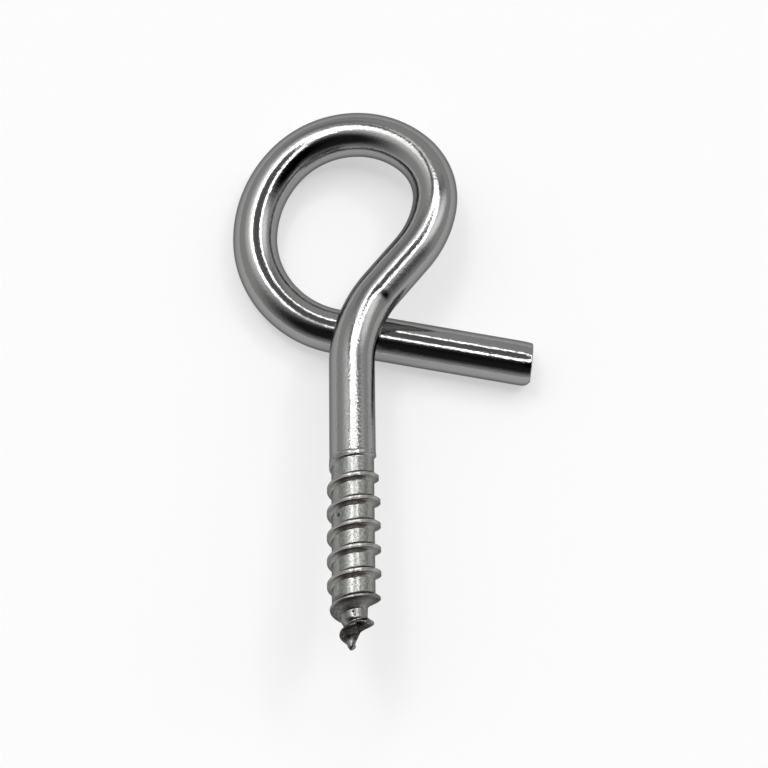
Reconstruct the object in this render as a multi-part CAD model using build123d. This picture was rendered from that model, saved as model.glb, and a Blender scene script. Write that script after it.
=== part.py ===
from build123d import *
import os
from math import atan, cos, degrees, radians, sin, tan

import numpy as np

# A pigtail screw eye: one length of round stainless wire. Millimetres and degrees.
# One end is rolled to a wood-screw thread with a gimlet point. The rest is bent away from the shank's
# line, round an open eye, and past the back of the shank, where it ends in a straight tail.
# The wire is bent in its own frame: the shank along Y, the point towards -Y, Z towards the front.
# It is then laid down as it comes to rest, on the last bend and the tail, with the point in the air.

# Wire
wire_d = 5.0
tail_end_round = 0.3  # edge break at the cut end

# Straights
shank_length = 10.2  # thread's shoulder to the first bend
throat_length = 5.6  # slanted straight between the two opposite bends
tail_length = 22.0
tail_gap = 1.45  # air between the tail and the shank where they cross
first_roll = 3.0  # turn of the bend plane about the wire before the eye starts

# Bends, by the radius of the centreline and the angle
throat_bend_r = 15.0  # away from the shank's line
throat_bend_angle = 38.5
entry_bend_r = 13.0  # back towards it, into the eye
entry_bend_angle = 28.0
shoulder_bend_r = 8.0  # the eye's tightest corner
shoulder_bend_angle = 55.0
crown_bend_r = 10.3
crown_bend_angle = 92.5
side_bend_r = 13.0
side_bend_angle = 40.5
closing_bend_r = 11.0  # under the shank, to the tail
closing_bend_angle = 81.5
bend_table = [  # straight before the bend, its angle (left is positive), radius
    (shank_length, -throat_bend_angle, throat_bend_r),
    (throat_length, entry_bend_angle, entry_bend_r),
    (0, shoulder_bend_angle, shoulder_bend_r),
    (0, crown_bend_angle, crown_bend_r),
    (0, side_bend_angle, side_bend_r),
    (0, closing_bend_angle, closing_bend_r),
]

# Rolled thread, right hand. Places are measured from the shoulder towards the tip.
thread_length = 22.85  # shoulder to tip
thread_major_d = 5.9
thread_root_d = 4.6
thread_pitch = 2.75
thread_start = 0.57  # where the ridge first crosses the +X side
flank_angle = 31.0  # each flank, from square to the axis
crest_width = 0.3
runout_length = 5.8  # the ridge rises from the wire's surface to its full height over this length
section_step = 20.0  # turn between two sections of the ridge

# Gimlet point: the root steps down to a neck, and a cone follows. Places are measured back from the tip.
root_end = 5.45
neck_start = 4.55
neck_d = 2.95
neck_end = 3.25
neck_end_d = 2.8
cone_start = 2.05
cone_d = 1.5
tip_d = 0.5
fade_length = 6.85  # the ridge's crest falls from its full height to the tip over this length
fade_fullness = 0.8  # below 1, the falling crest bulges; above 1, it hollows
ridge_end = 0.5  # where the ridge runs out into the tip

wire_r = wire_d / 2
root_r = thread_root_d / 2
major_r = thread_major_d / 2
shoulder_slope = degrees(atan(thread_pitch / 2 / wire_d))  # the shoulder lies askew, as the ridge climbs
shoulder_middle = thread_start + thread_pitch / 4
point_core = [  # place back from the tip, radius
    (root_end, root_r),
    (neck_start, neck_d / 2),
    (neck_end, neck_end_d / 2),
    (cone_start, cone_d / 2),
    (tip_d / 4, tip_d / 2),
    (0, 0),
]


def turned(point, axis, angle):
    """The point turned about an axis anywhere in space."""
    return axis.position + (point - axis.position).rotate(Axis((0, 0, 0), axis.direction), angle)


def centreline(roll):
    """Edges of the wire's centreline, and the last bend's normal. The bend plane rolls before each bend."""
    here = Vector(0, -shoulder_middle - wire_r, 0)
    heading = Vector(0, 1, 0)
    normal = Vector(0, 0, 1)
    edges = []
    for step, (feed, turn, radius) in enumerate(bend_table):
        if step == 0:
            feed += -here.Y
        if feed:
            edges.append(Edge.make_line(here, here + heading * feed))
            here = here + heading * feed
        if step:
            normal = normal.rotate(Axis((0, 0, 0), heading), first_roll if step == 1 else roll)
        side = normal.cross(heading) if turn > 0 else heading.cross(normal)
        hub = Axis(here + side * radius, normal)
        end = turned(here, hub, turn)
        edges.append(Edge.make_three_point_arc(here, turned(here, hub, turn / 2), end))
        heading = heading.rotate(Axis((0, 0, 0), normal), turn)
        here = end
    edges.append(Edge.make_line(here, here + heading * tail_length))
    return edges, normal


def tail_clearance(roll):
    """Air between the tail's side of the wire and the shank's side, where they cross."""
    edges, _ = centreline(roll)
    return Wire(edges[:2]).distance_to(Wire(edges[-2:])) - wire_d


def roll_for_gap():
    """Roll between the later bends that leaves tail_gap at the crossing, found by halving."""
    flat, steep = -1.0, -25.0
    for _ in range(24):
        middle = (flat + steep) / 2
        if tail_clearance(middle) < tail_gap:
            flat = middle
        else:
            steep = middle
    return (flat + steep) / 2


def bent_wire(edges):
    """The plain wire, with its shoulder cut askew at the thread and its tail end eased."""
    start = edges[0].position_at(0)
    path = Wire(edges)
    wire = sweep(Plane(start, z_dir=(0, 1, 0)) * Circle(wire_r), path=path)
    tip = path.position_at(1)
    rim = wire.edges().filter_by(GeomType.CIRCLE).sort_by_distance(tip)[0]
    wire = fillet(rim, tail_end_round)
    shoulder = Plane((0, -shoulder_middle, 0), z_dir=(-tan(radians(shoulder_slope)), 1, 0))
    return split(wire, bisect_by=shoulder, keep=Keep.TOP)


def core():
    """Root of the thread and the stepped gimlet point, turned about the screw's axis."""
    inside_shank = shank_length / 2
    outline = [(0, inside_shank), (root_r, inside_shank)]
    outline += [(radius, back - thread_length) for back, radius in point_core]
    return revolve(make_face(Polyline(*outline, close=True)), Axis.Y)


def crest_radius(place):
    """Radius of the ridge's crest at a place below the shoulder: it rises, runs full, and fades."""
    rise = min(max(place / runout_length, 0), 1)
    rise = rise * rise * (3 - 2 * rise)
    back = min((thread_length - place) / fade_length, 1)
    fade = sin(radians(90) * back**fade_fullness)
    return min(wire_r + (major_r - wire_r) * rise, major_r * fade)


def core_radius(place):
    """Radius of the core at a place below the shoulder."""
    backs, radii = zip(*reversed(point_core))
    return float(np.interp(thread_length - place, backs, radii))


def ridge_section(angle):
    """One cross-section of the ridge, standing in the plane through the screw's axis at that angle.

    Its foot is sunk into the core, by a fifth of the core's radius a fifth of a pitch nearer to the tip.
    """
    place = thread_start + thread_pitch * angle / 360
    outward = Vector(cos(radians(angle)), 0, sin(radians(angle)))
    crest = crest_radius(place)
    half_crest = min(crest_width / 2, crest / 3)
    foot = core_radius(place + thread_pitch / 5) * 4 / 5
    half_foot = half_crest + (crest - foot) * tan(radians(flank_angle))
    corners = [(crest, -half_crest), (crest, half_crest), (foot, half_foot), (foot, -half_foot)]
    points = [outward * radius - Vector(0, place + along, 0) for radius, along in corners]
    return make_face(Polyline(*points, close=True))


def ridge():
    """The helical ridge, lofted through sections that follow the pitch."""
    first = -360 * thread_start / thread_pitch
    last = 360 * (thread_length - ridge_end - thread_start) / thread_pitch
    count = round((last - first) / section_step)
    angles = np.linspace(first, last, count + 1)
    return loft([ridge_section(float(a)) for a in angles], ruled=True)


def laid_down(solid, normal, end):
    """The solid as it lies on its last bend and tail, which share a plane, centred over the origin."""
    table = Plane(end, x_dir=Vector(0, 1, 0).cross(normal), z_dir=normal)
    solid = table.to_local_coords(solid)
    box = solid.bounding_box()
    return Pos(-box.center().X, -box.center().Y, -box.min.Z) * solid


edges, last_normal = centreline(roll_for_gap())
screw_eye = bent_wire(edges) + core() + ridge()
screw_eye = laid_down(screw_eye, last_normal, edges[-1].position_at(1))

os.makedirs("parts", exist_ok=True)
export_step(screw_eye, "parts/pigtail_screw_eye.step")
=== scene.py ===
# %% [markdown]
# # A pigtail screw eye
#
# The object is one length of round stainless wire, 5 mm thick. One end is rolled to a wood-screw thread
# with a gimlet point. The rest swings out of the shank's line, goes round an open eye and passes behind
# the shank, where it ends in a straight tail. It lies on a pale floor with its point in the air.
#
# The solid model has the right size and form, but its surface is made of flat facets, and bright metal
# shows every one of them. So the whole wire is made again here as one fine surface: a function of two
# parameters, the distance along the wire and the angle round it.

import bpy
import numpy as np
from mathutils import Matrix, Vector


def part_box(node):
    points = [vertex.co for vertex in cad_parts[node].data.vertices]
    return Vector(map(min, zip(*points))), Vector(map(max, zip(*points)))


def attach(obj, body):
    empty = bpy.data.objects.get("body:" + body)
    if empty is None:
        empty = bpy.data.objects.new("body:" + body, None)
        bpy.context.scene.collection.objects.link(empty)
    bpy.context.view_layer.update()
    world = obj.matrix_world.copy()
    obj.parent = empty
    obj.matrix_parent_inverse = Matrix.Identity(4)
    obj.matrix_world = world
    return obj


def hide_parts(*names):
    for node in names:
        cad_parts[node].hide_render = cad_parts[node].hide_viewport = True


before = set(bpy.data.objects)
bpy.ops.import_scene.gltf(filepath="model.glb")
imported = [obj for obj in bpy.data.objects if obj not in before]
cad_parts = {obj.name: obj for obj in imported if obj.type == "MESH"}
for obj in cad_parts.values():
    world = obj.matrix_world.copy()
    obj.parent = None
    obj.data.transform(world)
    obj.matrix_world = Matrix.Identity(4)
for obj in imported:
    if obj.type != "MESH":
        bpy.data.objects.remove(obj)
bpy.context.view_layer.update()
NODE = "pigtail_screw_eye"
MM = 0.001

# %% [markdown]
# ## The wire's path
#
# A wire bender works from a table: how much straight wire is fed, how far the bend plane is rolled about
# the wire, how far the wire is bent and round what radius. The same table gives the centreline here, so
# every place on the wire has an exact point and an exact direction. A curve object could follow the same
# path, but it would leave no say over the surface itself, which the thread and the small dents need.

# %% The bender's table, in millimetres and degrees
WIRE_R = 2.5
THREAD_LENGTH = 22.85
SHANK_LENGTH = 10.2
TAIL_LENGTH = 22.0
LATER_ROLL = -6.52
BENDS = [  # straight before the bend, roll of the bend plane, angle (left is positive), radius
    (SHANK_LENGTH, 0.0, -38.5, 15.0),
    (5.6, 3.0, 28.0, 13.0),
    (0.0, LATER_ROLL, 55.0, 8.0),
    (0.0, LATER_ROLL, 92.5, 10.3),
    (0.0, LATER_ROLL, 40.5, 13.0),
    (0.0, LATER_ROLL, 81.5, 11.0),
]
WIRE_LENGTH = sum(feed + abs(np.radians(turn)) * radius for feed, _, turn, radius in BENDS) + TAIL_LENGTH
print("Wire from the thread's shoulder to the tail's end:", round(WIRE_LENGTH, 1), "mm")


# %% Turn vectors about an axis
def turned(vectors, axis, angles):
    """Rodrigues' formula, for one vector or many.

    The part of each vector along the axis stays, and the rest turns in its own plane.
    """
    angles = np.atleast_1d(angles)[:, None]
    along = axis * (vectors @ axis)[..., None]
    return along + (vectors - along) * np.cos(angles) + np.cross(axis, vectors) * np.sin(angles)


# %% Follow the table to any distance along the wire
def wire_frames(distance):
    """Point, side and front direction of the wire at each distance from the shoulder, in the bending frame.

    On a straight the point moves along the heading. In a bend the point, the side and the front all turn
    about the bend's centre line by the arc length divided by the radius, so the surface never twists.
    """
    point = np.array([0.0, 0.0, 0.0])
    heading, side, front = np.array([0.0, 1, 0]), np.array([1.0, 0, 0]), np.array([0.0, 0, 1])
    normal = front.copy()
    points = point + distance[:, None] * heading
    sides = np.tile(side, (len(distance), 1))
    fronts = np.tile(front, (len(distance), 1))
    start = 0.0
    for feed, roll, turn, radius in BENDS + [(TAIL_LENGTH, 0.0, 0.0, 1.0)]:
        here = distance >= start
        points[here] = point + (distance[here, None] - start) * heading
        sides[here], fronts[here] = side, front
        point, start = point + heading * feed, start + feed
        if not turn:
            break
        normal = turned(normal, heading, np.radians(roll))[0]
        centre = point + np.cross(normal, heading) * radius * np.sign(turn)
        here = distance >= start
        angle = (distance[here] - start) / radius * np.sign(turn)
        points[here] = centre + turned(point - centre, normal, angle)
        sides[here], fronts[here] = turned(side, normal, angle), turned(front, normal, angle)
        angle = np.radians(turn)
        point = centre + turned(point - centre, normal, angle)[0]
        heading, side, front = (turned(v, normal, angle)[0] for v in (heading, side, front))
        start += abs(angle) * radius
    return points, sides, fronts, normal


# %% Lay the wire on the floor
def laying_matrix():
    """Turns the bending frame so that the last bend and the tail lie flat, with the shank along Y.

    The last bend's normal becomes Z, and X is square to that and to the shank.
    """
    up = wire_frames(np.array([WIRE_LENGTH]))[3]
    across = np.cross([0, 1, 0], up)
    across /= np.linalg.norm(across)
    return np.array([across, np.cross(up, across), up])


LAY = laying_matrix()
print("The shank rises towards the point at", round(float(np.degrees(np.arcsin(-LAY[2, 1]))), 1), "degrees")

# %% [markdown]
# ## The surface of the wire
#
# The plain wire is a circle carried along the path. At the thread the radius becomes a function of the
# distance and the angle: a root, and on it a ridge that climbs one pitch a turn. Rolling squeezes the ridge
# up out of the wire, so it starts level with the shank at a slanting shoulder, swells to its full height
# in two turns, and dies away on the gimlet point.

# %% The thread's sizes, in millimetres
ROOT_R = 2.3
MAJOR_R = 2.87
OFF_CENTRE = 0.07
PITCH = 2.75
THREAD_START = 0.57
RUNOUT = 5.8
CREST_HALF = 0.19
LAST_SHARPER = 0.13  # how much narrower each half of the crest is on the last turn
LAST_TURN = (15.8, 17.0)  # the crest narrows between these places
FLANK_EASE = 0.05  # width added to each flank, so that a ridge of no height still has one
FLANK_SLOPE = np.tan(np.radians(31.0))
FADE_LENGTH = 6.85
FADE_POWER = 0.8
NECK_PLACE = 18.0  # middle of the step down to the neck
NECK_SLANT = 0.7  # how far the step shifts along the axis on each side
POINT_PLACE = [18.2, 19.6, 20.3, 20.8, 21.5, 22.3, 22.65, 22.8, 22.85]
POINT_R = [1.48, 1.42, 1.0, 0.78, 0.6, 0.4, 0.27, 0.14, 0.0]
TIP_SHIFT = 0.32


# %% Soft steps and soft spots
def step(value, low, high):
    """0 below low, 1 above high, and an S-shaped rise between them: 3 t squared minus 2 t cubed."""
    t = np.clip((value - low) / (high - low), 0, 1)
    return t * t * (3 - 2 * t)


def spot(distance, angle, place, degrees, length, width, radius):
    """1 at one place on the wire, falling to 0 over half a length along it and half a width round it."""
    round_it = (angle - np.radians(degrees) + np.pi) % (2 * np.pi) - np.pi
    return np.exp(-(((distance - place) / length) ** 2 + (round_it * radius / width) ** 2) ** 1.5)


# %% Root and ridge
def root_radius(place, angle):
    """Radius of the thread's root: even, then a slanting step down to the neck, then a cone to the tip.

    The cone is a line through its stations, averaged over a short length so that its corners are soft.
    """
    shifts = (-0.16, -0.08, 0.0, 0.08, 0.16)
    cone = sum(np.interp(place + shift, POINT_PLACE, POINT_R) for shift in shifts) / len(shifts)
    slanted = place - NECK_PLACE + NECK_SLANT * np.cos(angle)
    return ROOT_R + (cone - ROOT_R) * step(slanted, -0.35, 0.3)


def crest_radius(place, angle):
    """Radius of the ridge's crest: it rises from the wire over the run-out and fades on the point.

    The rolling dies were a little off centre, so the crest stands higher on one side.
    """
    rise = WIRE_R + (MAJOR_R - WIRE_R) * step(place, 0, RUNOUT)
    back = np.clip((THREAD_LENGTH - place) / FADE_LENGTH, 0, 1)
    fade = MAJOR_R * np.sin(np.pi / 2 * back**FADE_POWER)
    return np.minimum(rise, fade) + OFF_CENTRE * np.cos(angle) * back


def ridge_offset(place, angle):
    """Distance along the axis from the middle of the nearest turn of the ridge, wrapped into one pitch."""
    return (place - THREAD_START - PITCH * angle / (2 * np.pi) + PITCH / 2) % PITCH - PITCH / 2


def thread_radius(place, angle):
    """Radius of the thread at a place below the shoulder and an angle round the axis.

    The ridge is a trapezoid: full height over the crest's half width, then straight down over each flank,
    with both corners softened. On the last turn the crest is narrower, and its flanks are less steep. A seam
    runs along the crest, where the rolled metal met from both sides.
    """
    offset = ridge_offset(place, angle)
    root = root_radius(place, angle)
    height = np.maximum(crest_radius(place - offset, angle) - root, 0)
    sharper = LAST_SHARPER * step(place - offset, *LAST_TURN)
    flank = height * FLANK_SLOPE + FLANK_EASE + sharper
    t = np.clip((CREST_HALF + height * FLANK_SLOPE + FLANK_EASE - np.abs(offset)) / flank, 0, 1)
    ridge = height * (0.45 * t + 0.55 * t * t * (3 - 2 * t))
    seam = 0.05 * np.exp(-((offset / 0.07) ** 2)) * step(height, 0.3, 0.5)
    return root + ridge - seam


# %% The tail's worn corner, the pits, the torn ridge on the point, and the bending tool's mark
END_TAPER, END_TAPER_LENGTH = 0.1, 1.4
PITS = [  # distance from the shoulder (below 0 on the thread), degrees round, half length, half width, depth
    (WIRE_LENGTH + 0.65, -8, 0.75, 1.3, 1.5),
    (18.8, 58, 0.3, 0.45, 0.02),
    (17.9, 75, 0.5, 0.2, 0.012),
    (-8.2, 132, 0.24, 0.13, 0.12),
    (-19.0, 92, 0.1, 0.1, 0.12),
    (-20.42, 66, 0.26, 0.32, 0.7),
    (-20.15, 38, 0.1, 0.2, 0.4),
    (-21.3, 75, 0.12, 0.3, 0.12),
]
DARK_PITS = PITS[3:6]  # the ones painted near black: painted shade in their hollows


def marks_depth(distance, angle):
    """Depth of all dents. Each pit is a soft spot, and the tool's mark deepens slowly and ends in a step.

    The tail tapers a little before its cut end, with the square of the distance into the taper.
    """
    pits = sum(depth * spot(distance, angle, place, degrees, length, width, 1.6)
               for place, degrees, length, width, depth in PITS)
    tool = 0.08 * step(distance, 13.5, 18.4) * (1 - step(distance, 18.5, 19.6))
    into_taper = np.clip((distance - WIRE_LENGTH) / END_TAPER_LENGTH + 1, 0, 1)
    return pits + tool * spot(distance, angle, 17.0, 45, 9.0, 1.5, WIRE_R) + END_TAPER * into_taper**2


# %% The whole wire's radius
SHOULDER_BEND = 1.2  # how sharply the shoulder's slant turns back on itself


def surface_radius(distance, angle):
    """Radius of the surface at each distance from the shoulder and each angle: shank, shoulder, thread.

    The shank ends in a thin lip with a groove below it. Both slant round the wire as the first turn does.
    """
    place = -distance
    slant = PITCH / 4 * np.tanh(SHOULDER_BEND * (1 - np.cos(angle))) / np.tanh(SHOULDER_BEND)
    below = place - THREAD_START - slant
    radius = WIRE_R + (thread_radius(place, angle) - WIRE_R) * step(below, -0.02, 0.1)
    lips = 0.03 * np.exp(-(((below + 0.12) / 0.1) ** 2)) + 0.03 * np.exp(-(((below - 0.34) / 0.09) ** 2))
    groove = 0.09 * np.exp(-(((below - 0.12) / 0.08) ** 2))
    return np.maximum(radius + (lips - groove) * (np.abs(below) < 1) - marks_depth(distance, angle), 0.02)


# %% Rows along the wire, and the two closed ends
COLUMNS = 128
END_ROUND = 0.3
END_SLANT = np.tan(np.radians(4.0))
SLANT_LENGTH = 3  # the wire leans into its slanting cut over this length
NO_LIMIT = 9.0  # more than the wire's radius anywhere
TIP = POINT_PLACE[-1]
thread_rows = np.linspace(-TIP, 0.6, 430)
wire_rows = np.linspace(0.6, WIRE_LENGTH - END_ROUND, 330)[1:]
eased = np.linspace(0, np.pi / 2, 8)[1:]
face_share = np.linspace(1, 0, 8)[1:]
rows = np.concatenate([
    thread_rows, wire_rows, WIRE_LENGTH - END_ROUND + END_ROUND * np.sin(eased),
    np.full(len(face_share), WIRE_LENGTH)])
limit = np.concatenate([
    np.full(len(thread_rows) + len(wire_rows), NO_LIMIT), WIRE_R - END_ROUND + END_ROUND * np.cos(eased),
    np.full(len(face_share), NO_LIMIT)])
print("Grid:", len(rows), "rows of", COLUMNS, "points")


# %% Carry the radius along the path
def wire_surface():
    """Points of the surface, its unrolled coordinates and its marks, as arrays of rows by columns by 3.

    Each point is the centreline's, plus the radius times the cosine of the angle along the side direction
    and its sine along the front direction. Near the tip the centre drifts aside, and the last rows lean along
    the wire by their distance from one edge, so that the cut is slanted. The cut face's rings are
    shares of its rim's own radius, so no two of them meet. The marks are how much painted shade and painted
    dark reflection lie on the ridge's lower flank under the crest, how much dark scale and painted shade in
    the pits there is, and where the crest is, which is painted lighter as a painted highlight: flank shade
    and crest from 0 to 1, and scale with pit shade from 0 to 2.
    """
    angle = np.linspace(0, 2 * np.pi, COLUMNS, endpoint=False)[None, :]
    points, sides, fronts, _ = wire_frames(rows)
    points -= TIP_SHIFT * step(-rows, 20.0, 22.4)[:, None] * sides
    radius = np.minimum(surface_radius(rows[:, None], angle), limit[:, None])
    rim = radius[-len(face_share) - 1]
    radius[-len(face_share):] = rim * face_share[:, None]
    across, outward = radius * np.cos(angle), radius * np.sin(angle)
    grid = points[:, None] + across[..., None] * sides[:, None] + outward[..., None] * fronts[:, None]
    askew = (across + WIRE_R) * END_SLANT * step(rows, WIRE_LENGTH - SLANT_LENGTH, WIRE_LENGTH)[:, None]
    grid += askew[..., None] * np.cross(fronts, sides)[:, None]
    unrolled = np.stack([across, outward, np.broadcast_to(rows[:, None], across.shape)], axis=-1)
    place = -rows[:, None]
    offset = ridge_offset(place, angle)
    tall = step(crest_radius(place - offset, angle) - root_radius(place, angle), 0.1, 0.35)
    # Painted shade and painted dark reflection: the ridge's lower flank under the crest is painted dark, most
    # on the side at 100 degrees round.
    facing = 0.3 + 0.7 * np.exp(-(((angle - np.radians(100)) / 0.8) ** 2))
    painted_flank_shade = facing * tall * step(offset, 0.12, 0.2) * (1 - step(offset, 0.3, 0.44)) * (place > 2)
    slanted = place - NECK_PLACE + NECK_SLANT * np.cos(angle)
    neck_scale = step(slanted, -0.5, -0.1) * (0.7 - 0.4 * step(slanted, 0.2, 0.9))
    point_scale = 0.9 * step(place, 20.0, 20.5) * (1 - step(place, 21.6, 22.1))
    last_flank = 0.7 * spot(place, angle, 17.55, 125, 0.3, 1.3, 2.5)
    # Painted shade: the deeper pits are painted near black inside, and that shade goes into the scale mark.
    pit_shade = sum(spot(place, angle, -pit, degrees, length, width, 1.8)
                    for pit, degrees, length, width, _ in DARK_PITS)
    shine = 2 * spot(place, angle, 20.1, 112, 0.25, 0.6, 1.4)
    scale = neck_scale + point_scale + last_flank + 1.5 * pit_shade - shine
    crest = tall * (1 - step(np.abs(offset), 0.15, 0.3)) * step(place, 0, RUNOUT / 2)
    marks = np.stack([painted_flank_shade, np.clip(scale, 0, 2), crest], axis=-1)
    return grid @ LAY.T, unrolled, marks


# %% Close the grid into a mesh
def tube_mesh(name, grid, patterns):
    """A closed tube from rows of points: quads round it, and each end's last row pulled into one point.

    The angle runs counter-clockwise, seen along the wire from its tip, so each face's corners are taken
    along the wire first and round it second. That makes every face point outwards.

    Each pattern is a name and an array of the grid's size, and becomes an attribute of the mesh.
    """
    count, around = grid.shape[:2]
    first, last = grid[0].mean(axis=0), grid[-1].mean(axis=0)
    corners = np.concatenate([grid[1:-1].reshape(-1, 3), [first, last]])
    inner = np.arange((count - 2) * around).reshape(count - 2, around)
    onward = np.roll(inner, -1, axis=1)
    quads = np.stack([inner[:-1], inner[1:], onward[1:], onward[:-1]], axis=-1).reshape(-1, 4)
    tip, end = len(corners) - 2, len(corners) - 1
    fan_tip = np.stack([np.full(around, tip), inner[0], onward[0]], axis=-1)
    fan_end = np.stack([np.full(around, end), onward[-1], inner[-1]], axis=-1)
    mesh = bpy.data.meshes.new(name)
    mesh.from_pydata(corners, [], quads.tolist() + fan_tip.tolist() + fan_end.tolist())
    mesh.shade_smooth()
    for pattern, values in patterns.items():
        vectors = np.concatenate([values[1:-1].reshape(-1, 3), values[[0, -1]].mean(axis=1)])
        mesh.attributes.new(pattern, "FLOAT_VECTOR", "POINT").data.foreach_set("vector", vectors.ravel())
    return mesh


# %% Set the wire where the solid lies
grid, unrolled, marks = wire_surface()
low, high = (np.array(corner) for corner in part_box(NODE))
own_low, own_high = grid.min(axis=(0, 1)) * MM, grid.max(axis=(0, 1)) * MM
shift = np.array([*(low + high - own_low - own_high)[:2] / 2, low[2] - own_low[2]])
wire_mesh = tube_mesh("screw_eye_wire", grid * MM + shift, {"straight_wire": unrolled, "thread_marks_and_painted_light": marks})
wire = bpy.data.objects.new("screw_eye_wire", wire_mesh)
bpy.context.collection.objects.link(wire)
larger = (own_high - own_low - high + low) / MM
print("Faces:", len(wire_mesh.polygons), " larger than the solid by, mm:", larger)

# %% [markdown]
# ## Shader maths in Python
#
# A node tree is hard to read as a list of nodes and links. One small class wraps an output socket, so
# that an expression such as 1 - mask * 0.3 adds the Math nodes by itself.


# %% One socket with operators
class Value:
    """One output socket. Arithmetic on it adds Math nodes, and node() adds any other node."""

    def __init__(self, tree, socket=None):
        self.tree = tree
        self.socket = socket

    def node(self, kind, settings, inputs, output=0):
        """Adds a node: first its settings, then its inputs, each a number, a colour or another Value."""
        made = self.tree.nodes.new(kind)
        for name, setting in settings.items():
            setattr(made, name, setting)
        for name, given in inputs.items():
            if isinstance(given, Value):
                self.tree.links.new(given.socket, made.inputs[name])
            else:
                made.inputs[name].default_value = given
        return Value(self.tree, made.outputs[output])

    def math(self, operation, *terms):
        """Adds a Math node. Its terms are all given, so that either side may be a plain number."""
        return self.node("ShaderNodeMath", {"operation": operation}, dict(enumerate(terms)))

    def __add__(self, other):
        return self.math("ADD", self, other)

    def __sub__(self, other):
        return self.math("SUBTRACT", self, other)

    def __rsub__(self, other):
        return self.math("SUBTRACT", other, self)

    def __mul__(self, other):
        return self.math("MULTIPLY", self, other)

    def __truediv__(self, other):
        return self.math("DIVIDE", self, other)

    def __pow__(self, other):
        return self.math("POWER", self, other)

    def __abs__(self):
        return self.math("ABSOLUTE", self)

    __radd__ = __add__
    __rmul__ = __mul__

    def rise(self, low, high):
        """0 below low and 1 above high, with a soft step between."""
        return self.node(
            "ShaderNodeMapRange", {"interpolation_type": "SMOOTHSTEP"},
            {"Value": self, "From Min": low, "From Max": high})

    def parts(self):
        """The three numbers of a vector."""
        split = self.node("ShaderNodeSeparateXYZ", {}, {"Vector": self})
        outputs = split.socket.node.outputs
        return [Value(self.tree, outputs[i]) for i in range(3)]

    def stretched(self, x, y, z):
        """The vector with each of its numbers multiplied."""
        settings = {"operation": "MULTIPLY"}
        return self.node("ShaderNodeVectorMath", settings, {0: self, 1: (x, y, z)})

    def noise(self, scale, detail=2.0, roughness=0.5):
        """Soft noise from 0 to 1 over a vector."""
        inputs = {"Vector": self, "Scale": scale, "Detail": detail, "Roughness": roughness}
        return self.node("ShaderNodeTexNoise", {}, inputs)

    def mixed(self, first, second):
        """A colour from first to second as this number goes from 0 to 1."""
        settings = {"data_type": "RGBA"}
        return self.node("ShaderNodeMix", settings, {0: self, 6: first, 7: second}, output=2)


# %% [markdown]
# ## The finish
#
# The wire is bright drawn stainless, polished to a near mirror with faint lines along its length. The
# thread is duller, because the rolling dies press a fine grain into it. The shank next to it is a little
# rougher than the rest of the wire. Patterns are laid on the unrolled
# wire, whose coordinates travel with the mesh as an attribute, so that the draw lines follow every bend.

# %% Bright stainless steel
steel = bpy.data.materials.new("bright_stainless")
steel.use_nodes = True
tree = steel.node_tree
tree.nodes.clear()
nodes = Value(tree)
unrolled_wire = nodes.node("ShaderNodeAttribute", {"attribute_name": "straight_wire"}, {}, output="Vector")
_, _, along = unrolled_wire.parts()
rolled = 1 - along.rise(-1.9, -0.5)
thread_marks_and_painted_light = nodes.node("ShaderNodeAttribute", {"attribute_name": "thread_marks_and_painted_light"}, {}, output="Vector")
painted_flank_shade, scale, crest = thread_marks_and_painted_light.parts()
print("Patterns read from the mesh:", [a.name for a in wire_mesh.attributes if a.data_type == "FLOAT_VECTOR"])

# %% Its relief: an even fine grain, long draw lines, and a coarser grain where the dies pressed
# The bump is inverted, so the height worked out here is a depth: the grain is fine pits.
draw_lines = unrolled_wire.stretched(1, 1, 0.03).noise(7.0, 3.0, 0.6)
fine_grain = unrolled_wire.stretched(1, 1, 0.7).noise(4.5, 2.0, 0.6)
waviness = unrolled_wire.stretched(1, 1, 0.4).noise(0.5, 1.0)
die_grain = unrolled_wire.noise(4.0, 3.0, 0.6)
shank_only = 1 - along.rise(7, 15)
drawn_relief = (0.012 + 0.01 * shank_only) * fine_grain + 0.002 * draw_lines + 0.008 * waviness
height = drawn_relief + rolled * (0.014 * die_grain - drawn_relief)
bump = nodes.node("ShaderNodeBump", {"invert": True}, {"Strength": 1.0, "Distance": 0.001, "Height": height})

# %% Its colour and gloss
mottled = die_grain.rise(0.3, 0.7)
bare = draw_lines.mixed((0.28, 0.28, 0.277, 1), (0.315, 0.315, 0.31, 1))
pressed = mottled.mixed((0.215, 0.214, 0.203, 1), (0.315, 0.314, 0.302, 1))
colour = rolled.mixed(bare, pressed)
# Painted highlight: the crest is painted lighter than the rest of the thread.
colour = (0.5 * crest).mixed(colour, (0.42, 0.42, 0.41, 1))
# Painted shade and painted dark reflection: a dark brown band on the ridge's lower flank, under the crest.
colour = (painted_flank_shade * (0.7 + 0.3 * mottled)).mixed(colour, (0.095, 0.045, 0.047, 1))
# Dark scale on the neck and the point, with painted shade in the pits.
colour = (scale * (1 - 0.5 * mottled)).mixed(colour, (0.045, 0.038, 0.036, 1))
polish = 0.07 + 0.04 * draw_lines + 0.03 * shank_only
roughness = polish + rolled * (0.05 + 0.07 * mottled - 0.05 * crest + 0.2 * scale.rise(0, 1))
shader = nodes.node(
    "ShaderNodeBsdfPrincipled", {},
    {"Base Color": colour, "Metallic": 1.0, "Roughness": roughness, "Normal": bump,
     "Specular Tint": (0.35, 0.35, 0.35, 1)})
output = tree.nodes.new("ShaderNodeOutputMaterial")
tree.links.new(shader.socket, output.inputs["Surface"])
wire_mesh.materials.append(steel)
print("Nodes in the steel:", len(tree.nodes))

# %% The wire stands for the solid
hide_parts(NODE)
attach(wire, "root")

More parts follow.
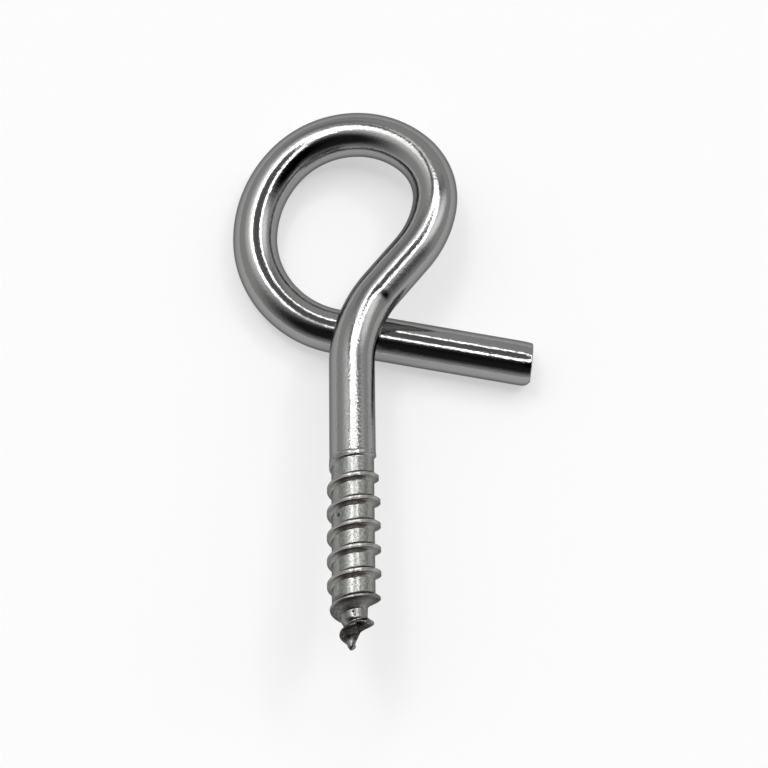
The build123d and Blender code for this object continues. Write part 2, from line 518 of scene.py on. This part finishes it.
# %% [markdown]
# ## Floor, light and camera
#
# A plain pale floor keeps the shadow. All the light comes from the sky round it, painted as a function of
# direction: a grey room with two dimmer corners, a wide dark side where someone stands, a ring lamp with a
# dark middle close to overhead, two small lamps, two soft glows, and a few flags that hold light back. Bright
# wire is a mirror, so what the sky holds is what draws the white and black lines along it. Under another sky
# those lines move. An image of a studio could do the same, but a few soft ovals are easier to place.

# %% The floor
floor_mesh = bpy.data.meshes.new("floor")
reach = 3.0
floor_mesh.from_pydata(
    [(-reach, -reach, 0), (reach, -reach, 0), (reach, reach, 0), (-reach, reach, 0)], [], [(0, 1, 2, 3)])
floor = bpy.data.objects.new("floor", floor_mesh)
bpy.context.collection.objects.link(floor)

# %% Its paint is half lit and half even white, so that the shadow stays but is gentle
paper = bpy.data.materials.new("pale_floor")
paper.use_nodes = True
tree = paper.node_tree
tree.nodes.clear()
nodes = Value(tree)
ray = {name: nodes.node("ShaderNodeLightPath", {}, {}, output=name)
       for name in ("Is Camera Ray", "Is Glossy Ray", "Is Transmission Ray")}
seen = ray["Is Camera Ray"] + ray["Is Glossy Ray"] + ray["Is Transmission Ray"]
lit = nodes.node("ShaderNodeBsdfDiffuse", {}, {"Color": (0.96, 0.96, 0.96, 1)})
even = nodes.node("ShaderNodeEmission", {}, {"Color": (1, 1, 1, 1), "Strength": 1.0})
surface = nodes.node("ShaderNodeMixShader", {}, {0: 0.5 * seen.rise(0, 1), 1: lit, 2: even})
output = tree.nodes.new("ShaderNodeOutputMaterial")
tree.links.new(surface.socket, output.inputs["Surface"])
floor_mesh.materials.append(paper)

# %% The sky
world = bpy.data.worlds.new("studio")
bpy.context.scene.world = world
world.use_nodes = True
tree = world.node_tree
tree.nodes.clear()
nodes = Value(tree)
direction = nodes.node("ShaderNodeTexCoord", {}, {}, output="Generated")
east, north, up = direction.parts()
from_zenith = up.math("ARCCOSINE", up) * (180 / np.pi)
spread = from_zenith / nodes.math("MAXIMUM", nodes.math("SQRT", east * east + north * north), 0.001)
chart_x, chart_y = east * spread, north * spread


def patch(x, y, half_x, half_y, softness, power=2.0):
    """1 inside an oval of the sky, 0 outside. Its centre and half sizes are degrees from the zenith.

    The distance is the sum of both shares raised to the power, rooted again: 2 is an ellipse, 1 a diamond.
    """
    share_x = abs((chart_x - x) / half_x) ** power
    share_y = abs((chart_y - y) / half_y) ** power
    distance = (share_x + share_y) ** (1 / power)
    return 1 - distance.rise(1 - softness, 1 + softness)


person = patch(32, -20, 37, 22, 0.5)
arm = patch(-5, -40.5, 55, 34, 0.5)
corner = 0.35 * patch(-25, 54, 13, 10, 0.6) + 0.4 * patch(36, 40, 9, 7, 0.7)
room = 0.64 * (1 - person) * (1 - 0.96 * arm) * (1 - corner)
glow = 1.4 * patch(43, 20, 14, 12, 0.8) + 0.8 * patch(-31, 18, 16, 20, 0.9)
side_lamp = patch(-24.5, 23, 6.5, 12.5, 0.5)
far_lamp = patch(-7, 42.3, 7.5, 4, 0.5)
ring = patch(4.2, 17.4, 25.4, 21.6, 0.07, 1.9)
middle = patch(5, 18.6, 18.6, 17, 0.08, 1.9)
flags = 0.85 * patch(-14.5, 36.5, 6.5, 4.5, 0.4) + 0.7 * patch(20, 37, 6, 3.5, 0.4)
flags = flags + 0.8 * patch(-6, 1, 4.5, 6, 0.4)
open_sky = room + glow + 1.5 * side_lamp + 1.1 * far_lamp
with_ring = open_sky + ring * (10.0 - open_sky)
strength = (with_ring + middle * (0.22 - with_ring)) * (1 - flags)
background = nodes.node("ShaderNodeBackground", {}, {"Color": (1, 1, 1, 1), "Strength": strength})
output = tree.nodes.new("ShaderNodeOutputWorld")
tree.links.new(background.socket, output.inputs["Surface"])
print("Nodes in the sky:", len(tree.nodes))

# %% The camera looks down on the wire from the point's side
VIEW_AZIMUTH = 9.68
VIEW_ELEVATION = 73.62
VIEW_ROLL = 9.84
CAMERA_DISTANCE = 0.3092
TARGET = np.array([0.0, -0.000156, 0.005])
turn, rise = np.radians(VIEW_AZIMUTH), np.radians(VIEW_ELEVATION)
back = np.array([-np.sin(turn) * np.cos(rise), -np.cos(turn) * np.cos(rise), np.sin(rise)])
level = np.array([np.cos(turn), -np.sin(turn), 0])
roll = np.radians(VIEW_ROLL)
right = level * np.cos(roll) + np.cross(back, level) * np.sin(roll)
place = TARGET + back * CAMERA_DISTANCE
camera = bpy.data.objects.new("camera", bpy.data.cameras.new("camera"))
bpy.context.collection.objects.link(camera)
axes = np.eye(4)
axes[:3, 0], axes[:3, 1], axes[:3, 2], axes[:3, 3] = right, np.cross(back, right), back, place
camera.matrix_world = Matrix(axes.tolist())
camera.data.lens = 131.05
camera.data.sensor_width = 36.0
camera.data.clip_start = 0.01
bpy.context.scene.camera = camera
bpy.context.scene.view_settings.view_transform = "Standard"
